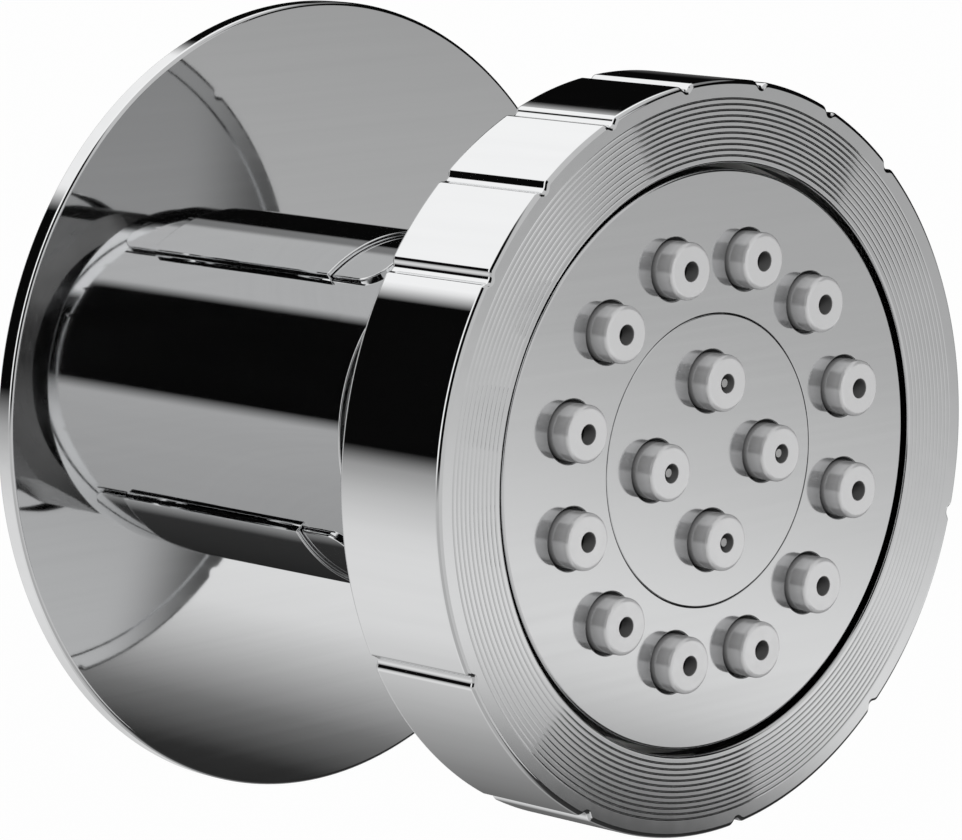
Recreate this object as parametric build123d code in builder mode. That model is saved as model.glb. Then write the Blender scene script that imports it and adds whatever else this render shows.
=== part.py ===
from build123d import *
import os

# Shower body jet, in millimetres. The wall is the plane Y = 0, the jet faces -Y and +Z is up.
# Places along the jet are distances out from the wall, so behind the wall they are negative.

# Wall plate and the gasket in its back
plate_radius = 30.0
plate_thickness = 1.5
plate_edge_fillet = 0.3
plate_hole_clearance = 0.25
gasket_inner_radius = 19.0
gasket_width = 7.0
gasket_thickness = 0.7
gasket_clearance = 0.1

# Inlet nipple: G1/2 thread behind the wall, shoulder in front of the plate
thread_radius = 10.48
thread_length = 14.0
thread_chamfer = 0.8
relief_width = 1.2
relief_depth = 0.9
shoulder_radius = 11.5
shoulder_length = 6.0
water_bore_radius = 5.0
screen_seat_radius = 7.6
screen_thickness = 0.5
screen_hole_radius = 0.6
screen_hole_pitch = 1.9
screen_rows = 3
washer_thickness = 2.0
washer_bore_radius = 4.8
limiter_length = 4.0
limiter_bore_radius = 1.6
seat_clearance = 0.05

# Stem sleeve: two raised pads between two longer tongues
sleeve_radius = 12.9
sleeve_clearance = 0.1
pad_height = 0.6
pad_end = 11.3
pad_sweep = 90.0
pad_turn = 80.0
tongue_end = 14.9

# Collar that closes the sleeve, with tabs between the tongues
collar_step = 0.05
collar_end = 17.9
collar_wall = 1.4
collar_edge_fillet = 0.5
tab_height = 0.35
tab_reach = 0.9
tab_corner = 1.8
tab_root = 0.4
tab_inset_angle = 0.5
tab_clearance = 0.12
tab_clearance_angle = 1.0
neck_clearance = 0.6

# Ball stem
spigot_radius = 6.5
spigot_depth = 9.5
spigot_clearance = 0.1
stem_bore_radius = 3.0
hex_across_flats = 17.0
hex_length = 3.0
hex_sides = 6
neck_radius = 5.0
ball_centre = 27.0
ball_radius = 8.0
ball_nose = 5.5
oring_section = 1.2
oring_room = 0.15

# Ball socket: friction ring, nut and seal
ball_clearance = 0.1
friction_wall = 1.0
friction_rear = 3.8
friction_front = 0.5
nut_radius = 12.0
nut_rear = 4.5
nut_chamfer = 1.5
nut_end = 31.0
nut_flats = 23.0
boss_wall = 1.55
boss_rear = 0.1
thread_clearance = 0.1
seal_rear = 2.0
seal_length = 2.2
seal_radius = 9.0
seal_clearance = 0.05
chamber_radius = 7.5

# Spray head, from its back to the tips of the nozzles
head_back = 33.0
head_front = 42.8
head_edge_fillet = 0.35
bore_wall = 2.1
bore_clearance = 0.1
cover_thickness = 0.8
cover_sink = 0.2
cover_lip = 0.6
cover_hole_clearance = 1.0
hub_gap = 0.5
hub_thickness = 2.0
hub_pocket_margin = 2.5
hub_pocket_depth = 0.8
turning_gap = 0.3
diverter_thickness = 1.3
distributor_thickness = 1.2
distributor_rim = 0.7
ring_flange = 2.2

# Diverter tabs, the hub posts that they swing between, and the distributor screws
tab_count = 3
post_sweep = 22.0
post_width = 3.4
diverter_tab_sweep = 8.0
diverter_tab_reach = 0.7
slot_clearance = 0.1
slot_clearance_angle = 0.5
tab_start = 20.0
screw_radius = 0.8
screw_head_radius = 1.3
screw_head_height = 0.8
screw_length = 2.6
screw_rim = 3.9

# Face, nozzles and spray cores, from the inner circle of nozzles outwards
face_front = 42.5
face_thickness = 1.3
face_edge_fillet = 0.2
face_gap = 0.6
skirt_wall = 0.7
seam = 0.1
mat_thickness = 1.0
mat_rim = 1.0
mat_clearance = 0.1
nozzle_radius = 2.13
nozzle_tip = 44.2
nozzle_edge_fillet = 0.3
nozzle_hole_clearance = 0.2
nozzle_lip = 1.1
outer_count = 12
outer_start = 15.0
outer_jet_radius = 0.75
inner_count = 4
inner_circle = 5.7
centre_land = 4.75
outer_land = 4.05
face_land = 6.1
inner_start = 0.0
inner_jet_radius = 0.65
feed_radius = 1.3
core_pin_radius = 0.3
core_pin_length = 0.8
core_slot_width = 0.7
port_count = 4
port_radius = 1.5
port_sweep = 40.0

# Grip ring: fine grooves round its front and notches across its side
groove_count = 11
groove_pitch = 0.4
groove_width = 0.26
groove_depth = 0.06
groove_start = 0.45
notch_width = 1.15
notch_floor = 0.45
notch_depth = 0.35
upper_notches = 7
upper_notch_pitch = 16.55
lower_notches = 5
lower_notch_pitch = 34.45
notch_turn = 96.0

# How far a cutting shape reaches past the face that it cuts
cut_margin = 1.0

half_turn = 180.0
full_turn = 360.0

# Planes and the axis that every turned piece shares
FRONT = Plane(origin=(0, 0, 0), x_dir=(1, 0, 0), z_dir=(0, -1, 0))
SECTION = Plane(origin=(0, 0, 0), x_dir=(0, 0, 1), z_dir=(1, 0, 0))
SPIN = Axis((0, 0, 0), (0, -1, 0))
BALL = (0, -ball_centre, 0)

# Sizes that follow from the ones above
plate_hole_radius = thread_radius + plate_hole_clearance
gasket_outer_radius = gasket_inner_radius + gasket_width
relief_radius = thread_radius - relief_depth
shoulder_end = plate_thickness + shoulder_length
screen_back = -thread_length + washer_thickness
screen_front = screen_back + screen_thickness
spigot_back = shoulder_end - spigot_depth
socket_radius = spigot_radius + spigot_clearance
sleeve_bore = shoulder_radius + sleeve_clearance
pad_radius = sleeve_radius + pad_height
pad_angles = (pad_turn, pad_turn + half_turn)
collar_radius = sleeve_radius - collar_step
tab_radius = collar_radius + tab_height
tab_back = pad_end + tab_clearance
tab_front = tongue_end + tab_reach
tab_sweep = pad_sweep - tab_clearance_angle
skin_sweep = tab_sweep - 2 * tab_inset_angle
collar_hole_radius = neck_radius + neck_clearance
ball_seat_radius = ball_radius + ball_clearance
friction_radius = ball_seat_radius + friction_wall
nut_seat_radius = friction_radius + ball_clearance
boss_radius = nut_seat_radius + boss_wall
boss_back = ball_centre - boss_rear
nut_back = ball_centre - nut_rear
nut_bore = boss_radius + thread_clearance
seal_back = ball_centre + seal_rear
seal_front = seal_back + seal_length
seal_pocket_radius = seal_radius + seal_clearance
centre_radius = inner_circle + centre_land
outer_circle = centre_radius + outer_land
face_radius = outer_circle + face_land
distributor_radius = face_radius + seam + screw_rim
bore_radius = distributor_radius + turning_gap
head_radius = bore_radius + bore_wall
cover_front = head_back + cover_sink + cover_thickness
cover_radius = bore_radius + cover_lip
cover_hole_radius = nut_radius + cover_hole_clearance
hub_back = cover_front + hub_gap
hub_front = hub_back + hub_thickness
hub_radius = bore_radius - bore_clearance
hub_pocket_radius = outer_circle + port_radius + hub_pocket_margin
diverter_back = hub_front + turning_gap
diverter_front = diverter_back + diverter_thickness
distributor_back = diverter_front + turning_gap
distributor_floor = distributor_back + distributor_thickness
distributor_front = distributor_floor + distributor_rim
flange_back = head_front - ring_flange
flange_bore = face_radius + face_gap
post_outer_radius = distributor_radius
post_inner_radius = post_outer_radius - post_width
screw_circle = (post_outer_radius + post_inner_radius) / 2
diverter_radius = post_inner_radius - turning_gap
tab_reach_radius = bore_radius + diverter_tab_reach
slot_radius = tab_reach_radius + slot_clearance
tab_pitch = full_turn / tab_count
port_pitch = full_turn / port_count
face_back = face_front - face_thickness
mat_back = face_back - mat_thickness
face_skirt_bore = face_radius - skirt_wall
centre_skirt_bore = centre_radius - skirt_wall
nozzle_hole_radius = nozzle_radius + nozzle_hole_clearance
jet_start = nozzle_tip - nozzle_lip
upper_span = (upper_notches - 1) * upper_notch_pitch
lower_span = (lower_notches - 1) * lower_notch_pitch


def turned(*points):
    """A closed outline of (radius, distance out) corners, to be turned about the axis."""
    with BuildSketch(SECTION) as outline:
        with BuildLine():
            Polyline(*points, close=True)
        make_face()
    return outline.sketch


def ring_outline(inner, outer, back, front):
    """The rectangular section of a plain ring."""
    return turned((inner, back), (outer, back), (outer, front), (inner, front))


def disc(out, radius):
    """A circle across the axis, at a distance out from the wall."""
    with BuildSketch(FRONT.offset(out)) as circle:
        Circle(radius)
    return circle.sketch


def discs(out, radius, circle, start, count):
    """Equal circles on a pitch circle, at a distance out from the wall."""
    with BuildSketch(FRONT.offset(out)) as circles:
        with PolarLocations(circle, count, start_angle=start):
            Circle(radius)
    return circles.sketch


def sector(out, inner, outer, middle, sweep):
    """A piece of a ring across the axis, centred on an angle from +X towards +Z."""
    with BuildSketch(FRONT.offset(out)) as piece:
        with BuildLine():
            far = CenterArc((0, 0), outer, middle - sweep / 2, sweep)
            near = CenterArc((0, 0), inner, middle - sweep / 2, sweep)
            Line(far @ 0, near @ 0)
            Line(far @ 1, near @ 1)
        make_face()
    return piece.sketch


def tab_skin(angle):
    """The raised outside of a collar tab, with rounded corners at its front."""
    with BuildPart() as skin:
        extrude(
            sector(tab_back, collar_radius - tab_root, tab_radius, angle, skin_sweep),
            tab_front - tab_back,
        )
        front_corners = skin.faces().sort_by(Axis.Y)[0].edges().filter_by(GeomType.LINE)
        fillet(front_corners, tab_corner)
    return skin.part


def torus_ring(out, radius):
    """The round section of an O-ring whose centre line has the given radius."""
    with BuildSketch(SECTION) as section:
        with Locations((radius, out)):
            Circle(oring_section / 2)
    return section.sketch


os.makedirs("parts", exist_ok=True)

# Wall plate: a thin polished disc with a shallow gasket groove in its back
with BuildPart() as wall_plate:
    revolve(
        turned(
            (plate_hole_radius, 0),
            (gasket_inner_radius, 0),
            (gasket_inner_radius, gasket_thickness),
            (gasket_outer_radius, gasket_thickness),
            (gasket_outer_radius, 0),
            (plate_radius, 0),
            (plate_radius, plate_thickness),
            (plate_hole_radius, plate_thickness),
        ),
        axis=SPIN,
    )
    plate_rim = wall_plate.edges().group_by(Axis.Y)[0].sort_by(SortBy.LENGTH)[-1]
    fillet(plate_rim, plate_edge_fillet)
wall_plate.part.label = "wall_plate"
export_step(wall_plate.part, "parts/wall_plate.step")

with BuildPart() as wall_gasket:
    revolve(
        ring_outline(
            gasket_inner_radius + gasket_clearance,
            gasket_outer_radius - gasket_clearance,
            0,
            gasket_thickness,
        ),
        axis=SPIN,
    )
wall_gasket.part.label = "wall_gasket"
export_step(wall_gasket.part, "parts/wall_gasket.step")

# Inlet nipple: thread, relief and shoulder in one turned piece with a stepped bore
with BuildPart() as inlet_nipple:
    revolve(
        turned(
            (screen_seat_radius, -thread_length),
            (thread_radius - thread_chamfer, -thread_length),
            (thread_radius, thread_chamfer - thread_length),
            (thread_radius, -relief_width),
            (relief_radius, -relief_width),
            (relief_radius, plate_thickness),
            (shoulder_radius, plate_thickness),
            (shoulder_radius, shoulder_end),
            (socket_radius, shoulder_end),
            (socket_radius, spigot_back),
            (water_bore_radius, spigot_back),
            (water_bore_radius, screen_front),
            (screen_seat_radius, screen_front),
        ),
        axis=SPIN,
    )
inlet_nipple.part.label = "inlet_nipple"
export_step(inlet_nipple.part, "parts/inlet_nipple.step")

with BuildPart() as inlet_washer:
    revolve(
        ring_outline(
            washer_bore_radius, screen_seat_radius - seat_clearance, -thread_length, screen_back
        ),
        axis=SPIN,
    )
inlet_washer.part.label = "inlet_washer"
export_step(inlet_washer.part, "parts/inlet_washer.step")

with BuildPart() as inlet_screen:
    extrude(disc(screen_back, screen_seat_radius - seat_clearance), screen_thickness)
    with BuildSketch(FRONT.offset(screen_back)):
        with HexLocations(screen_hole_pitch / 2, screen_rows, screen_rows):
            Circle(screen_hole_radius)
    extrude(amount=screen_thickness, mode=Mode.SUBTRACT)
inlet_screen.part.label = "inlet_screen"
export_step(inlet_screen.part, "parts/inlet_screen.step")

with BuildPart() as flow_limiter:
    revolve(
        ring_outline(
            limiter_bore_radius,
            water_bore_radius - seat_clearance,
            screen_front,
            screen_front + limiter_length,
        ),
        axis=SPIN,
    )
flow_limiter.part.label = "flow_limiter"
export_step(flow_limiter.part, "parts/flow_limiter.step")

# Stem sleeve: tongues to the left and right, raised pads above and below
with BuildPart() as stem_sleeve:
    revolve(ring_outline(sleeve_bore, sleeve_radius, plate_thickness, tongue_end), axis=SPIN)
    for pad_angle in pad_angles:
        extrude(
            sector(pad_end, sleeve_bore - cut_margin, pad_radius, pad_angle, pad_sweep),
            tongue_end - pad_end,
            mode=Mode.SUBTRACT,
        )
        extrude(
            sector(plate_thickness, sleeve_bore, pad_radius, pad_angle, pad_sweep),
            pad_end - plate_thickness,
        )
stem_sleeve.part.label = "stem_sleeve"
export_step(stem_sleeve.part, "parts/stem_sleeve.step")

# Lock collar: a cap round the neck, with a tab that meets each pad's end
tab_skins = [tab_skin(pad_angle) for pad_angle in pad_angles]
with BuildPart() as lock_collar:
    extrude(disc(tongue_end, collar_radius), collar_end - tongue_end)
    extrude(disc(tongue_end, sleeve_bore), collar_end - collar_wall - tongue_end, mode=Mode.SUBTRACT)
    extrude(disc(tongue_end, collar_hole_radius), collar_end - tongue_end, mode=Mode.SUBTRACT)
    for pad_angle in pad_angles:
        extrude(
            sector(tab_back, sleeve_bore, collar_radius, pad_angle, tab_sweep),
            tongue_end - tab_back,
        )
    for skin in tab_skins:
        add(skin)
    collar_rim = lock_collar.edges().group_by(Axis.Y)[0].sort_by(SortBy.LENGTH)[-1]
    fillet(collar_rim, collar_edge_fillet)
lock_collar.part.label = "lock_collar"
export_step(lock_collar.part, "parts/lock_collar.step")

# Ball stem: spigot with an O-ring groove, hexagon, neck and hollow ball with a flat nose
with BuildPart() as ball_stem:
    extrude(disc(spigot_back, spigot_radius), spigot_depth)
    with BuildSketch(FRONT.offset(shoulder_end)):
        RegularPolygon(hex_across_flats / 2, hex_sides, major_radius=False)
    extrude(amount=hex_length)
    extrude(disc(shoulder_end, neck_radius), ball_centre - shoulder_end)
    with Locations(BALL):
        Sphere(ball_radius)
    extrude(disc(ball_centre + ball_nose, ball_radius), ball_radius, mode=Mode.SUBTRACT)
    extrude(
        disc(spigot_back, stem_bore_radius),
        ball_centre + ball_radius - spigot_back,
        mode=Mode.SUBTRACT,
    )
    stem_groove = spigot_back + spigot_depth / 2
    revolve(
        ring_outline(
            spigot_radius - oring_section,
            spigot_radius + cut_margin,
            stem_groove - oring_section / 2 - oring_room,
            stem_groove + oring_section / 2 + oring_room,
        ),
        axis=SPIN,
        mode=Mode.SUBTRACT,
    )
ball_stem.part.label = "ball_stem"
export_step(ball_stem.part, "parts/ball_stem.step")

with BuildPart() as stem_oring:
    revolve(torus_ring(stem_groove, spigot_radius - oring_section / 2), axis=SPIN)
stem_oring.part.label = "stem_oring"
export_step(stem_oring.part, "parts/stem_oring.step")

# Friction ring: a ball zone that slides on the ball inside and in the nut outside
with BuildPart() as friction_ring:
    with Locations(BALL):
        Sphere(friction_radius)
    extrude(
        disc(ball_centre - friction_rear, friction_radius),
        friction_rear - friction_front,
        mode=Mode.INTERSECT,
    )
    with Locations(BALL):
        Sphere(ball_seat_radius, mode=Mode.SUBTRACT)
friction_ring.part.label = "friction_ring"
export_step(friction_ring.part, "parts/friction_ring.step")

with BuildPart() as ball_nut:
    revolve(
        turned(
            (0, nut_back),
            (nut_radius - nut_chamfer, nut_back),
            (nut_radius, nut_back + nut_chamfer),
            (nut_radius, nut_end),
            (nut_bore, nut_end),
            (nut_bore, boss_back),
            (0, boss_back),
        ),
        axis=SPIN,
    )
    with Locations(BALL):
        Sphere(nut_seat_radius, mode=Mode.SUBTRACT)
    flat_height = nut_radius - nut_flats / 2
    with BuildSketch(FRONT.offset(nut_back)):
        with PolarLocations(nut_flats / 2 + flat_height / 2, hex_sides):
            Rectangle(flat_height, 2 * nut_radius)
    extrude(amount=nut_end - nut_back, mode=Mode.SUBTRACT)
ball_nut.part.label = "ball_nut"
export_step(ball_nut.part, "parts/ball_nut.step")

with BuildPart() as socket_seal:
    extrude(disc(seal_back, seal_radius), seal_length)
    with Locations(BALL):
        Sphere(ball_seat_radius, mode=Mode.SUBTRACT)
socket_seal.part.label = "socket_seal"
export_step(socket_seal.part, "parts/socket_seal.step")

# Head hub: threaded boss behind, flat web, and posts that carry the distributor
with BuildPart() as head_hub:
    revolve(
        turned(
            (seal_pocket_radius, boss_back),
            (boss_radius, boss_back),
            (boss_radius, hub_back),
            (hub_radius, hub_back),
            (hub_radius, hub_front),
            (hub_pocket_radius, hub_front),
            (hub_pocket_radius, hub_front - hub_pocket_depth),
            (chamber_radius, hub_front - hub_pocket_depth),
            (chamber_radius, seal_front),
            (seal_pocket_radius, seal_front),
        ),
        axis=SPIN,
    )
    with Locations(BALL):
        Sphere(nut_seat_radius, mode=Mode.SUBTRACT)
    hub_groove = (hub_back + hub_front) / 2
    revolve(
        ring_outline(
            hub_radius - oring_section,
            hub_radius + cut_margin,
            hub_groove - oring_section / 2 - oring_room,
            hub_groove + oring_section / 2 + oring_room,
        ),
        axis=SPIN,
        mode=Mode.SUBTRACT,
    )
    for index in range(tab_count):
        extrude(
            sector(hub_front, post_inner_radius, post_outer_radius, index * tab_pitch, post_sweep),
            distributor_back - hub_front,
        )
    extrude(
        discs(distributor_back, screw_radius, screw_circle, 0, tab_count),
        -screw_length,
        mode=Mode.SUBTRACT,
    )
head_hub.part.label = "head_hub"
export_step(head_hub.part, "parts/head_hub.step")

with BuildPart() as ring_oring:
    revolve(torus_ring(hub_groove, hub_radius - oring_section / 2), axis=SPIN)
ring_oring.part.label = "ring_oring"
export_step(ring_oring.part, "parts/ring_oring.step")

# Diverter disc: turned by the grip ring, it opens the outer or the inner ports
with BuildPart() as diverter_disc:
    extrude(disc(diverter_back, diverter_radius), diverter_thickness)
    for index in range(tab_count):
        extrude(
            sector(
                diverter_back,
                diverter_radius - cut_margin,
                tab_reach_radius,
                tab_start + index * tab_pitch,
                diverter_tab_sweep,
            ),
            diverter_thickness,
        )
    for index in range(port_count):
        extrude(
            sector(
                diverter_back,
                outer_circle - port_radius,
                outer_circle + port_radius,
                index * port_pitch,
                port_sweep,
            ),
            diverter_thickness,
            mode=Mode.SUBTRACT,
        )
    extrude(
        discs(diverter_back, feed_radius, inner_circle, port_pitch / 2, port_count),
        diverter_thickness,
        mode=Mode.SUBTRACT,
    )
diverter_disc.part.label = "diverter_disc"
export_step(diverter_disc.part, "parts/diverter_disc.step")

# Distributor: floor with ports to the two nozzle chambers, and a rim round the face's skirt
with BuildPart() as distributor:
    revolve(
        turned(
            (0, distributor_back),
            (distributor_radius, distributor_back),
            (distributor_radius, distributor_front),
            (face_radius + seam, distributor_front),
            (face_radius + seam, distributor_floor),
            (0, distributor_floor),
        ),
        axis=SPIN,
    )
    extrude(
        discs(distributor_back, port_radius, outer_circle, 0, port_count)
        + discs(distributor_back, feed_radius, inner_circle, 0, inner_count),
        distributor_thickness,
        mode=Mode.SUBTRACT,
    )
    extrude(
        discs(distributor_back, screw_radius, screw_circle, 0, tab_count),
        distributor_front - distributor_back,
        mode=Mode.SUBTRACT,
    )
    extrude(
        discs(distributor_front, screw_head_radius + seat_clearance, screw_circle, 0, tab_count),
        -screw_head_height,
        mode=Mode.SUBTRACT,
    )
distributor.part.label = "distributor"
export_step(distributor.part, "parts/distributor.step")

with BuildPart() as distributor_screws:
    screw_seat = distributor_front - screw_head_height
    screw_end = distributor_back - screw_length
    extrude(
        discs(screw_seat, screw_head_radius, screw_circle, 0, tab_count), screw_head_height
    )
    extrude(
        discs(screw_end, screw_radius - seat_clearance, screw_circle, 0, tab_count),
        screw_seat - screw_end,
    )
distributor_screws.part.label = "distributor_screws"
export_step(distributor_screws.part, "parts/distributor_screws.step")

# Outer nozzles: one soft mat with a ring of nozzles moulded on it
with BuildPart() as outer_nozzles:
    mat_inner_radius = centre_radius + mat_clearance
    mat_outer_radius = face_skirt_bore - mat_clearance
    revolve(
        turned(
            (mat_inner_radius, distributor_floor),
            (mat_inner_radius + mat_rim, distributor_floor),
            (mat_inner_radius + mat_rim, mat_back),
            (mat_outer_radius - mat_rim, mat_back),
            (mat_outer_radius - mat_rim, distributor_floor),
            (mat_outer_radius, distributor_floor),
            (mat_outer_radius, face_back),
            (mat_inner_radius, face_back),
        ),
        axis=SPIN,
    )
    extrude(
        discs(face_back, nozzle_radius, outer_circle, outer_start, outer_count),
        nozzle_tip - face_back,
    )
    fillet(outer_nozzles.edges().group_by(Axis.Y)[0], nozzle_edge_fillet)
    extrude(
        discs(mat_back, feed_radius, outer_circle, outer_start, outer_count),
        jet_start - mat_back,
        mode=Mode.SUBTRACT,
    )
    extrude(
        discs(jet_start, outer_jet_radius, outer_circle, outer_start, outer_count),
        nozzle_tip - jet_start,
        mode=Mode.SUBTRACT,
    )
outer_nozzles.part.label = "outer_nozzles"
export_step(outer_nozzles.part, "parts/outer_nozzles.step")

# Inner nozzles: a second mat in the centre, whose jets hold swirl cores
with BuildPart() as inner_nozzles:
    inner_mat_radius = centre_skirt_bore - mat_clearance
    revolve(
        turned(
            (0, mat_back),
            (inner_mat_radius - mat_rim, mat_back),
            (inner_mat_radius - mat_rim, distributor_floor),
            (inner_mat_radius, distributor_floor),
            (inner_mat_radius, face_back),
            (0, face_back),
        ),
        axis=SPIN,
    )
    extrude(
        discs(face_back, nozzle_radius, inner_circle, inner_start, inner_count),
        nozzle_tip - face_back,
    )
    fillet(inner_nozzles.edges().group_by(Axis.Y)[0], nozzle_edge_fillet)
    extrude(
        discs(mat_back, feed_radius, inner_circle, inner_start, inner_count),
        jet_start - mat_back,
        mode=Mode.SUBTRACT,
    )
    extrude(
        discs(jet_start, inner_jet_radius, inner_circle, inner_start, inner_count),
        nozzle_tip - jet_start,
        mode=Mode.SUBTRACT,
    )
inner_nozzles.part.label = "inner_nozzles"
export_step(inner_nozzles.part, "parts/inner_nozzles.step")

# Spray cores: a slotted plug with a pin in each inner jet
with BuildPart() as spray_cores:
    extrude(
        discs(mat_back, feed_radius - seat_clearance, inner_circle, inner_start, inner_count),
        jet_start - mat_back,
    )
    with BuildSketch(FRONT.offset(mat_back)):
        with PolarLocations(inner_circle, inner_count, start_angle=inner_start):
            with Locations((feed_radius, 0), (-feed_radius, 0)):
                Rectangle(2 * core_slot_width, core_slot_width)
    extrude(amount=jet_start - mat_back, mode=Mode.SUBTRACT)
    extrude(
        discs(jet_start, core_pin_radius, inner_circle, inner_start, inner_count), core_pin_length
    )
spray_cores.part.label = "spray_cores"
export_step(spray_cores.part, "parts/spray_cores.step")

# Face plate: the outer ring of the face, with a skirt that stands on the distributor
with BuildPart() as face_plate:
    revolve(
        turned(
            (centre_radius + seam, face_back),
            (face_skirt_bore, face_back),
            (face_skirt_bore, distributor_floor),
            (face_radius, distributor_floor),
            (face_radius, face_front),
            (centre_radius + seam, face_front),
        ),
        axis=SPIN,
    )
    face_rim = face_plate.edges().group_by(Axis.Y)[0].sort_by(SortBy.LENGTH)[-1]
    fillet(face_rim, face_edge_fillet)
    extrude(
        discs(face_back, nozzle_hole_radius, outer_circle, outer_start, outer_count),
        face_thickness,
        mode=Mode.SUBTRACT,
    )
face_plate.part.label = "face_plate"
export_step(face_plate.part, "parts/face_plate.step")

with BuildPart() as centre_disc:
    revolve(
        turned(
            (0, face_back),
            (centre_skirt_bore, face_back),
            (centre_skirt_bore, distributor_floor),
            (centre_radius, distributor_floor),
            (centre_radius, face_front),
            (0, face_front),
        ),
        axis=SPIN,
    )
    extrude(
        discs(face_back, nozzle_hole_radius, inner_circle, inner_start, inner_count),
        face_thickness,
        mode=Mode.SUBTRACT,
    )
centre_disc.part.label = "centre_disc"
export_step(centre_disc.part, "parts/centre_disc.step")

# Grip ring: notched side, grooved front flange, bore with slots for the diverter's tabs
with BuildPart() as grip_ring:
    revolve(
        turned(
            (cover_radius, head_back),
            (head_radius, head_back),
            (head_radius, head_front),
            (flange_bore, head_front),
            (flange_bore, flange_back),
            (bore_radius, flange_back),
            (bore_radius, cover_front),
            (cover_radius, cover_front),
        ),
        axis=SPIN,
    )
    front_rim = grip_ring.edges().group_by(Axis.Y)[0].sort_by(SortBy.LENGTH)[-1]
    back_rim = grip_ring.edges().group_by(Axis.Y)[-1].sort_by(SortBy.LENGTH)[-1]
    fillet([front_rim, back_rim], head_edge_fillet)
    for index in range(groove_count):
        groove_radius = flange_bore + groove_start + index * groove_pitch
        revolve(
            turned(
                (groove_radius - groove_width / 2, head_front),
                (groove_radius, head_front - groove_depth),
                (groove_radius + groove_width / 2, head_front),
            ),
            axis=SPIN,
            mode=Mode.SUBTRACT,
        )
    upper_start = notch_turn - upper_span / 2
    lower_start = notch_turn + half_turn - lower_span / 2
    notch_angles = [upper_start + index * upper_notch_pitch for index in range(upper_notches)]
    notch_angles += [lower_start + index * lower_notch_pitch for index in range(lower_notches)]
    for angle in notch_angles:
        with BuildSketch(FRONT.offset(head_back)):
            with PolarLocations(head_radius - notch_depth, 1, start_angle=angle):
                Polygon(
                    (0, -notch_floor / 2),
                    (notch_depth, -notch_width / 2),
                    (2 * notch_depth, -notch_width / 2),
                    (2 * notch_depth, notch_width / 2),
                    (notch_depth, notch_width / 2),
                    (0, notch_floor / 2),
                    align=None,
                )
        extrude(amount=head_front - head_back, mode=Mode.SUBTRACT)
    for index in range(tab_count):
        extrude(
            sector(
                cover_front,
                bore_radius - cut_margin,
                slot_radius,
                tab_start + index * tab_pitch,
                diverter_tab_sweep + slot_clearance_angle,
            ),
            diverter_front + turning_gap - cover_front,
            mode=Mode.SUBTRACT,
        )
grip_ring.part.label = "grip_ring"
export_step(grip_ring.part, "parts/grip_ring.step")

# Back cover: a thin disc set into the back of the grip ring
with BuildPart() as back_cover:
    revolve(
        ring_outline(
            cover_hole_radius,
            cover_radius - seat_clearance,
            head_back + cover_sink,
            cover_front,
        ),
        axis=SPIN,
    )
back_cover.part.label = "back_cover"
export_step(back_cover.part, "parts/back_cover.step")
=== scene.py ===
import math

import bmesh
import bpy
import numpy as np
from mathutils import Matrix, Vector
from mathutils.geometry import tessellate_polygon


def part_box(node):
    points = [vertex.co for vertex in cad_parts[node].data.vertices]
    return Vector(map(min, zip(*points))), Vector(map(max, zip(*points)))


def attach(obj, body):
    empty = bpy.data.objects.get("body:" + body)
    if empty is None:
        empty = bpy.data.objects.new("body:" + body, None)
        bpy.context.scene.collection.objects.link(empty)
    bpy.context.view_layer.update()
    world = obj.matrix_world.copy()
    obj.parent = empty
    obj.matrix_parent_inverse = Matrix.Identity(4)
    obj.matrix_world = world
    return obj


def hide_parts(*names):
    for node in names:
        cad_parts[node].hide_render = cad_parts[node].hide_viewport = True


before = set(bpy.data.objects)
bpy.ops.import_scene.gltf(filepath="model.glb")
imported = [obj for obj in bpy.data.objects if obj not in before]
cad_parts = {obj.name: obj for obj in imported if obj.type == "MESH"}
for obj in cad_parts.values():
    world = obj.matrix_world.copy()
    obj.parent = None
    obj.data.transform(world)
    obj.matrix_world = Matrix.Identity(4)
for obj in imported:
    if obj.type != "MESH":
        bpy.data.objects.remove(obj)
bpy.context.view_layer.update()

# Shower body jet. Sizes are in millimetres and become metres when a mesh is made.
# A place along the jet is a distance out from the wall, and an angle runs from +X towards +Z.
MM = 0.001
WELD = 1e-9
FULL_TURN = 2 * math.pi
ROUND_STEPS = 256
SMALL_STEPS = 64
ARC_STEPS = 5
BEND_STEPS = 14
TENT_STEPS = 96
SECTOR_STEP = math.radians(1.5)
SHARP_ANGLE = math.radians(30)
ROUND_PROFILE = 0.5
NEARLY_ALONG = 0.999
NEARLY_SQUARE = 0.02


def reach(node):
    """A node's radius, and how far out from the wall it starts and ends."""
    low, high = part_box(node)
    return high.x / MM, -high.y / MM, -low.y / MM


plate_radius, plate_back, plate_front = reach("wall_plate")
gasket_radius, _, gasket_front = reach("wall_gasket")
shoulder_radius, nipple_back, shoulder_end = reach("inlet_nipple")
tongue_radius, sleeve_back, tongue_end = reach("stem_sleeve")
pad_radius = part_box("stem_sleeve")[1].z / MM
collar_radius, tab_back, collar_front = reach("lock_collar")
tab_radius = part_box("lock_collar")[1].z / MM
head_radius, head_back, head_front = reach("grip_ring")
cover_radius, _, cover_front = reach("back_cover")
face_radius, skirt_back, face_front = reach("face_plate")
centre_radius = reach("centre_disc")[0]
outer_mat_radius, mat_rim_back, nozzle_tip = reach("outer_nozzles")
inner_mat_radius = reach("inner_nozzles")[0]

# Wall plate
plate_hole_radius = 10.73
plate_edge = 0.3
gasket_inner_radius = 19.0
gasket_room = 0.1

# Inlet nipple and its pipe thread
thread_radius = 10.48
thread_chamfer = 0.8
thread_pitch = 1.814
thread_depth = 0.9
thread_fade = 0.7
thread_rows = 14
relief_width = 1.2
water_bore = 5.0
screen_seat = 7.6
screen_depth = 2.5
socket_radius = 6.6
socket_depth = 9.5

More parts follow.
